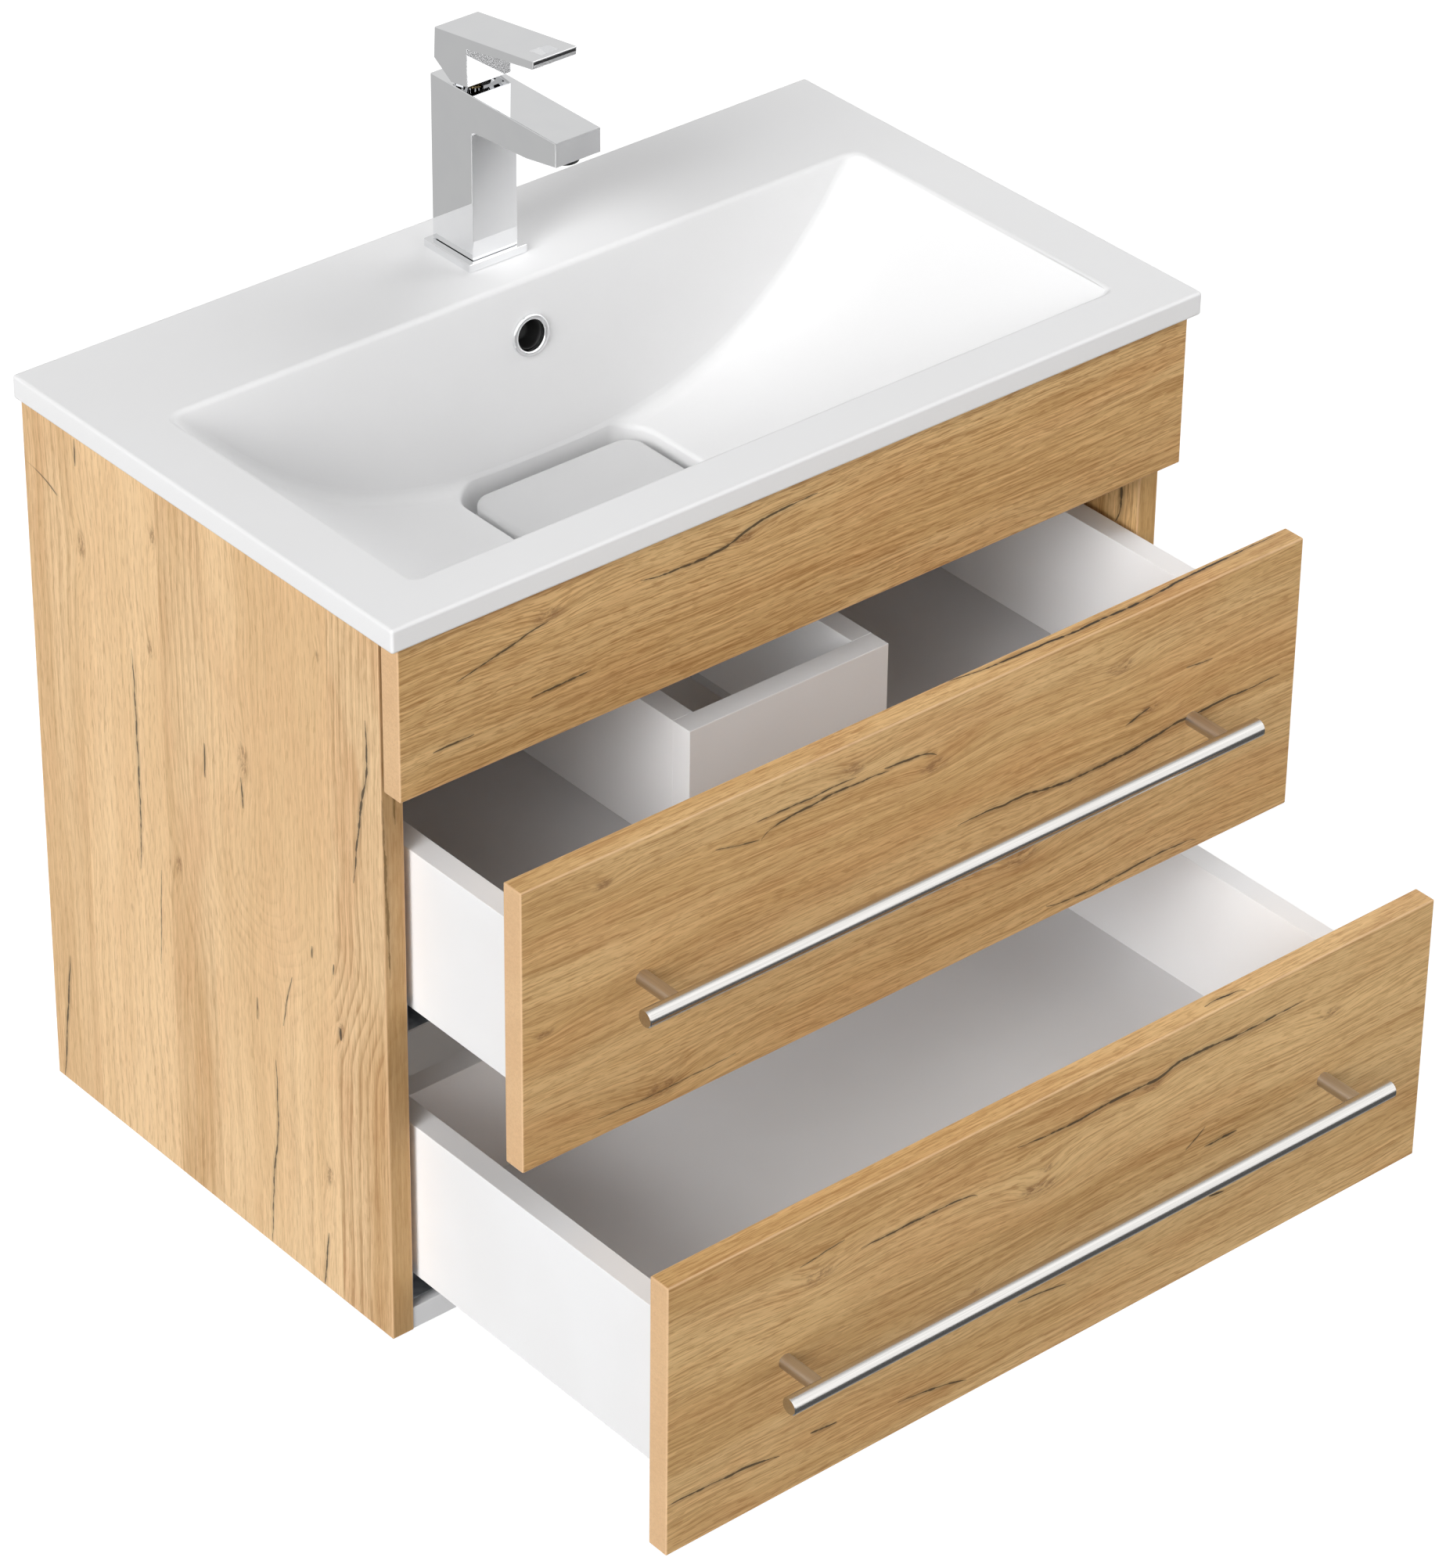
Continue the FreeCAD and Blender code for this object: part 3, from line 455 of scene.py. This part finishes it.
def brushed(name, colour, stretch, low, high, seed):
    """Brushed metal. The stretch is small along the brushing and large across it."""
    made, g, shader, place = new_material(name)
    lines = g.noise(g.scaled(place, stretch, (seed, 0, seed)), 1.0, 4.0, 0.7)
    pale = tuple(min(1.0, c * 1.05) for c in colour[:3]) + (1.0,)
    dull = tuple(c * 0.9 for c in colour[:3]) + (1.0,)
    g.put(shader.inputs["Base Color"], g.mix(g.span(lines, 0.3, 0.7), pale, dull))
    shader.inputs["Metallic"].default_value = 1.0
    g.put(shader.inputs["Roughness"], g.span(lines, 0.3, 0.7, low, high))
    g.put(shader.inputs["Normal"], g.bump(lines, 0.05, 0.03 * MM))
    return made


def plated_steel():
    """Zinc plating: soft blotches of two greys."""
    made, g, shader, place = new_material("zinc_plated_steel")
    cell = g.node("ShaderNodeTexVoronoi")
    g.put(cell.inputs["Vector"], place)
    cell.inputs["Scale"].default_value = 170.0
    fade = g.noise(place, 60.0, 3.0, 0.6)
    spangle = g.times(cell.outputs["Distance"], fade)
    g.put(shader.inputs["Base Color"],
          g.mix(g.span(spangle, 0.05, 0.4), rgb(0.64, 0.66, 0.68), rgb(0.50, 0.52, 0.55)))
    shader.inputs["Metallic"].default_value = 1.0
    g.put(shader.inputs["Roughness"], g.span(fade, 0.3, 0.7, 0.30, 0.45))
    g.put(shader.inputs["Normal"], g.bump(fade, 0.05, 0.1 * MM))
    return made


def moulded(name, colour, roughness, grain_scale):
    """Moulded plastic or rubber with a fine texture."""
    made, g, shader, place = new_material(name)
    grit = g.noise(place, grain_scale, 3.0, 0.6)
    paler = tuple(c * 1.12 + 0.004 for c in colour[:3]) + (1.0,)
    g.put(shader.inputs["Base Color"], g.mix(g.span(grit, 0.35, 0.7), colour, paler))
    g.put(shader.inputs["Roughness"], g.span(grit, 0.3, 0.7, roughness - 0.05, roughness + 0.08))
    g.put(shader.inputs["Normal"], g.bump(grit, 0.15, 0.05 * MM))
    return made


def dress(material, *names):
    for name in names:
        slots = frame["nodes"][name].data.materials
        slots.clear()
        slots.append(material)


def cad_nodes(slot):
    """The CAD nodes of one material slot of the record."""
    return [row["node"] for row in frame["record"]["subparts"] if row["material_slot"] == slot]


SIDE_TONES = tint(0.92, 0.79, 0.615), tint(0.825, 0.675, 0.49)         # pale, deep
FRONT_TONES = tint(0.885, 0.74, 0.525), tint(0.82, 0.66, 0.44)


def dress_boards():
    boards = [
        oak("side_panel_left", True, 3.0, *SIDE_TONES, (-0.285, -0.09, 0.75), LEFT_CRACKS,
            LEFT_KNOTS, 0.62, LEFT_EDGE_CRACKS, LEFT_STAVES, 0.55),
        oak("side_panel_right", True, 8.0, *FRONT_TONES, (-0.20, 0.1, 0.08), RIGHT_CRACKS),
        oak("fascia", False, 5.0, *FRONT_TONES, (0.02, -0.9, 0.03), FASCIA_CRACKS,
            FASCIA_KNOTS, 1.10),
        oak("top_drawer_front", False, 12.0, *FRONT_TONES, (-0.07, -0.1, 0.04), TOP_CRACKS,
            TOP_KNOTS, 0.92, TOP_EDGE_CRACKS),
        oak("low_drawer_front", False, 17.0, *FRONT_TONES, (-0.37, -0.15, 0.05), LOW_CRACKS,
            LOW_KNOTS, 0.92, LOW_EDGE_CRACKS),
    ]
    for board in boards:
        dress(board, board.name.removeprefix("oak_"))


def dress_the_rest():
    dress(white_melamine("melamine_white", 0.963, 1.0), *cad_nodes("white_board"))
    dress(white_melamine("melamine_floor", 0.92, 4.0), *cad_nodes("white_floor"))
    # Painted shade: the top drawer's floor is a darker copy of the white melamine, for the shade
    # under the fascia.
    dress(white_melamine("melamine_top_floor_painted_shade", 0.82, 4.0), "top_drawer_bottom")
    dress(cast_stone("cast_stone_satin", 0.95), "basin")
    # Painted shade: the drain cover is a darker copy of the basin's cast stone, for the shade it
    # sits in.
    dress(cast_stone("cast_stone_cover_painted_shade", 0.87), "drain_cover")
    dress(chrome(), *cad_nodes("chrome"))
    dress(plated_steel(), *cad_nodes("galvanised"))
    # Each metal: its name, its slot in the record, its colour, how the brushing is stretched
    # along X, Y and Z, its lowest and highest roughness, and a seed.
    metals = [
        ("steel_bar", "bar_steel", rgb(0.62, 0.605, 0.585), (6, 900, 900), 0.19, 0.26, 2),
        # The post's steel is tinted brown as a painted reflection of the oak front around it.
        ("steel_post_painted_reflection", "post_steel", rgb(0.56, 0.525, 0.49), (900, 8, 900), 0.28, 0.40, 6),
        ("zinc_screw", "zinc_screw", rgb(0.66, 0.66, 0.64), (400, 400, 400), 0.28, 0.40, 3),
        ("brass_turned", "brass", rgb(0.72, 0.55, 0.28), (300, 300, 900), 0.22, 0.34, 9),
    ]
    for name, slot, colour, stretch, low, high, seed in metals:
        dress(brushed(name, colour, stretch, low, high, seed), *cad_nodes(slot))
    # Each plastic: its name, its slot, its colour, its roughness and how fine its grain is.
    plastics = [
        ("plastic_white", "white_plastic", tint(0.90, 0.90, 0.89), 0.40, 700.0),
        ("plastic_black", "black_plastic", tint(0.10, 0.10, 0.10), 0.42, 700.0),
        ("rubber_black", "rubber", tint(0.12, 0.12, 0.12), 0.62, 500.0),
    ]
    for name, slot, colour, roughness, grain_scale in plastics:
        dress(moulded(name, colour, roughness, grain_scale), *cad_nodes(slot))


# ---------------------------------------------------------------- pieces modelled here
def piece(name, mesh, material, body):
    """Put a finished mesh in the scene as one piece that rides on a body."""
    mesh.materials.append(material)
    made = bpy.data.objects.new(name, mesh)
    bpy.context.scene.collection.objects.link(made)
    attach(made, body)


def turned(name, profile, centre, axis, steps=64):
    """A mesh turned about an axis from (radius, distance) points. A radius of 0 closes it."""
    bm = bmesh.new()
    axis = Vector(axis).normalized()
    side = axis.orthogonal().normalized()
    up = axis.cross(side)
    rings = []
    for radius, reach in profile:
        middle = Vector(centre) + axis * reach
        if radius == 0:
            rings.append([bm.verts.new(middle)])
            continue
        angles = [2 * pi * k / steps for k in range(steps)]
        ring = [middle + (side * cos(a) + up * sin(a)) * radius for a in angles]
        rings.append([bm.verts.new(point) for point in ring])
    for near, far in zip(rings, rings[1:]):
        for k in range(steps):
            corners = [near[k % len(near)], near[(k + 1) % len(near)],
                       far[(k + 1) % len(far)], far[k % len(far)]]
            bm.faces.new(list(dict.fromkeys(corners)))     # at a closed end two corners are one
    bmesh.ops.recalc_face_normals(bm, faces=bm.faces)
    mesh = bpy.data.meshes.new(name)
    bm.to_mesh(mesh)
    bm.free()
    for face in mesh.polygons:
        face.use_smooth = True
    return mesh


# The sleeve behind the overflow ring, as (radius, depth) in millimetres.
THROAT_OUTER = [(11.9, -1.0), (11.9, 2.0), (11.6, 5.0), (10.8, 8.0), (9.6, 11.0), (8.8, 14.0)]
THROAT_INNER = [(0, 13.2), (8.0, 13.2), (8.9, 10.6), (10.1, 7.6), (10.9, 4.8), (11.2, 2.0),
                (11.3, -0.6)]
THROAT_AXIS = (0, 1, -0.12)


def overflow_throat(material):
    """The sleeve behind the overflow ring: a tube that narrows to a closed end, near-black as
    painted shade deep in the overflow.
    """
    low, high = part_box("overflow_ring")
    middle = (Vector(low) + Vector(high)) / 2
    points = [(0, THROAT_OUTER[-1][1])] + THROAT_OUTER[::-1] + THROAT_INNER[::-1]
    profile = [(radius * MM, depth * MM) for radius, depth in points]
    mesh = turned("overflow_throat", profile, middle, THROAT_AXIS)
    piece("overflow_throat", mesh, material, "carcass")


# The strip in the lever's tip, in millimetres: half its size on each axis, how round its edges
# are, how far its face is behind the tip and its middle below the lever's top.
INLAY_HALF = (19.2, 1.1, 1.15)
INLAY_ROUND = 0.35
INLAY_BEHIND = 0.5
INLAY_BELOW = 2.37


def lever_inlay(material):
    """The strip let into the lever's tip, with rounded edges and ends, near-black as painted shade
    in the tip's slot.
    """
    low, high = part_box("lever")
    half = Vector(INLAY_HALF) * MM
    middle = Vector((0, low[1] + INLAY_BEHIND * MM + half.y, high[2] - INLAY_BELOW * MM))
    bm = bmesh.new()
    bmesh.ops.create_cube(bm, size=2.0)
    for vert in bm.verts:
        vert.co = middle + vert.co * half
    bmesh.ops.bevel(bm, geom=bm.edges[:], offset=INLAY_ROUND * MM, segments=3, profile=0.5,
                    affect="EDGES")
    mesh = bpy.data.meshes.new("lever_inlay")
    bm.to_mesh(mesh)
    bm.free()
    piece("lever_inlay", mesh, material, "lever")


def extra_pieces():
    # Painted shade: the throat's near-black stands for the dark depth of the overflow hole.
    overflow_throat(moulded("plastic_throat_painted_shade", tint(0.07, 0.07, 0.07), 0.55, 900.0))
    # Painted shade: the inlay's near-black stands for the shade inside the slot of the lever's tip.
    lever_inlay(moulded("plastic_inlay_painted_shade", tint(0.13, 0.13, 0.14), 0.35, 900.0))


# ---------------------------------------------------------------- stage, light and camera
# Each light: degrees from the front towards the right, degrees up, half angle and strength.
SOFT_LIGHTS = [
    (284, 8, 19, 6.3),             # the key light is a bank on the left
    (284, 28, 19, 10.3),
    (306, 28, 19, 3.9),
    (90, 20, 48, 2.9),             # a broad fill from the right
    (0, -15, 48, 1.0),
    (20, 60, 19, 0.9),
    (120, 55, 48, 0.3),
    (180, -5, 35, 0.6),            # a low fill from behind, for the back of the cabinet
]


def world_light():
    """A studio: a soft key from the left, fills from the right and behind, a white backdrop.

    Polished metal mirrors plain panels in front and behind, in place of the lights.
    """
    world = bpy.data.worlds.new("studio")
    bpy.context.scene.world = world
    world.use_nodes = True
    tree = world.node_tree
    g = Graph(tree)
    tree.nodes.clear()
    way = g.node("ShaderNodeTexCoord").outputs["Generated"]
    lit = 0.0
    for round_about, up, half_angle, strength in SOFT_LIGHTS:
        turn, rise = radians(round_about), radians(up)
        aim = (sin(turn) * cos(rise), -cos(turn) * cos(rise), sin(rise))
        lean = g.vector("DOT_PRODUCT", way, aim)
        rim, core = cos(radians(half_angle)), cos(radians(half_angle / 8))
        lit = g.math("ADD", lit, g.span(lean, rim, core, 0.0, strength))

    _, depth, height = g.split(way)
    before = g.span(height, -0.20, -0.04, 0.12, 1.45)
    behind = g.span(height, -0.90, 0.30, 0.44, 0.70)
    mirrored = g.mix(g.span(depth, -0.25, 0.15), before, behind)

    path = g.node("ShaderNodeLightPath")
    colour = g.mix(path.outputs["Is Glossy Ray"], lit, mirrored)
    colour = g.mix(path.outputs["Is Camera Ray"], colour, rgb(1, 1, 1))
    soft = g.node("ShaderNodeBackground")
    g.put(soft.inputs["Color"], colour)
    out = g.node("ShaderNodeOutputWorld")
    g.put(out.inputs[0], soft.outputs[0])


FLOOR_BELOW = 0.24                 # the floor under a cabinet hung at the usual height
FLOOR_HALF = 30.0
FLOOR_GLOW = 0.86                  # lifts the lit floor to white, as in the photograph


def floor():
    mesh = bpy.data.meshes.new("floor")
    level = cad_low.z - FLOOR_BELOW
    corners = [(-1, -1), (1, -1), (1, 1), (-1, 1)]
    points = [(FLOOR_HALF * a, FLOOR_HALF * b, level) for a, b in corners]
    mesh.from_pydata(points, [], [(0, 1, 2, 3)])
    plane = bpy.data.objects.new("floor", mesh)
    bpy.context.scene.collection.objects.link(plane)
    made, g, shader, place = new_material("floor_pale")
    cloud = g.noise(place, 2.0, 2.0)
    g.put(shader.inputs["Base Color"], g.mix(cloud, tint(0.62, 0.62, 0.62), tint(0.60, 0.60, 0.60)))
    shader.inputs["Roughness"].default_value = 0.9
    shader.inputs["Specular IOR Level"].default_value = 0.0
    shader.inputs["Emission Color"].default_value = rgb(1, 1, 1)
    shader.inputs["Emission Strength"].default_value = FLOOR_GLOW
    mesh.materials.append(made)
    plane.visible_diffuse = False
    plane.visible_glossy = False


CAM_PLACE = (-2.437, -3.2199, 2.3212)
CAM_AZIMUTH = 39.383               # degrees from +Y towards +X that the camera looks
CAM_DOWN = 31.222
CAM_ROLL = 0.174
CAM_LENS = 139.54                  # millimetres
CAM_SENSOR = 36.0
CAM_SHIFT = (0.0563, -0.1468)


def camera():
    data = bpy.data.cameras.new("camera")
    data.lens = CAM_LENS
    data.sensor_width = CAM_SENSOR
    data.shift_x, data.shift_y = CAM_SHIFT
    data.clip_start = 0.1
    data.clip_end = 100.0
    eye = bpy.data.objects.new("camera", data)
    bpy.context.scene.collection.objects.link(eye)
    az, down = radians(CAM_AZIMUTH), radians(CAM_DOWN)
    ahead = Vector((sin(az) * cos(down), cos(az) * cos(down), -sin(down)))
    right = ahead.cross(Vector((0, 0, 1))).normalized()
    up = right.cross(ahead)
    turn = Matrix((right, up, -ahead)).transposed() @ Matrix.Rotation(radians(CAM_ROLL), 3, "Z")
    eye.matrix_world = Matrix.Translation(CAM_PLACE) @ turn.to_4x4()
    bpy.context.scene.camera = eye


def colour_management():
    view = bpy.context.scene.view_settings
    view.view_transform = "Standard"
    view.look = "None"
    view.exposure = 0.0
    view.gamma = 1.0


camera()
world_light()
floor()
colour_management()
dress_boards()
dress_the_rest()
extra_pieces()

bpy.context.view_layer.update()
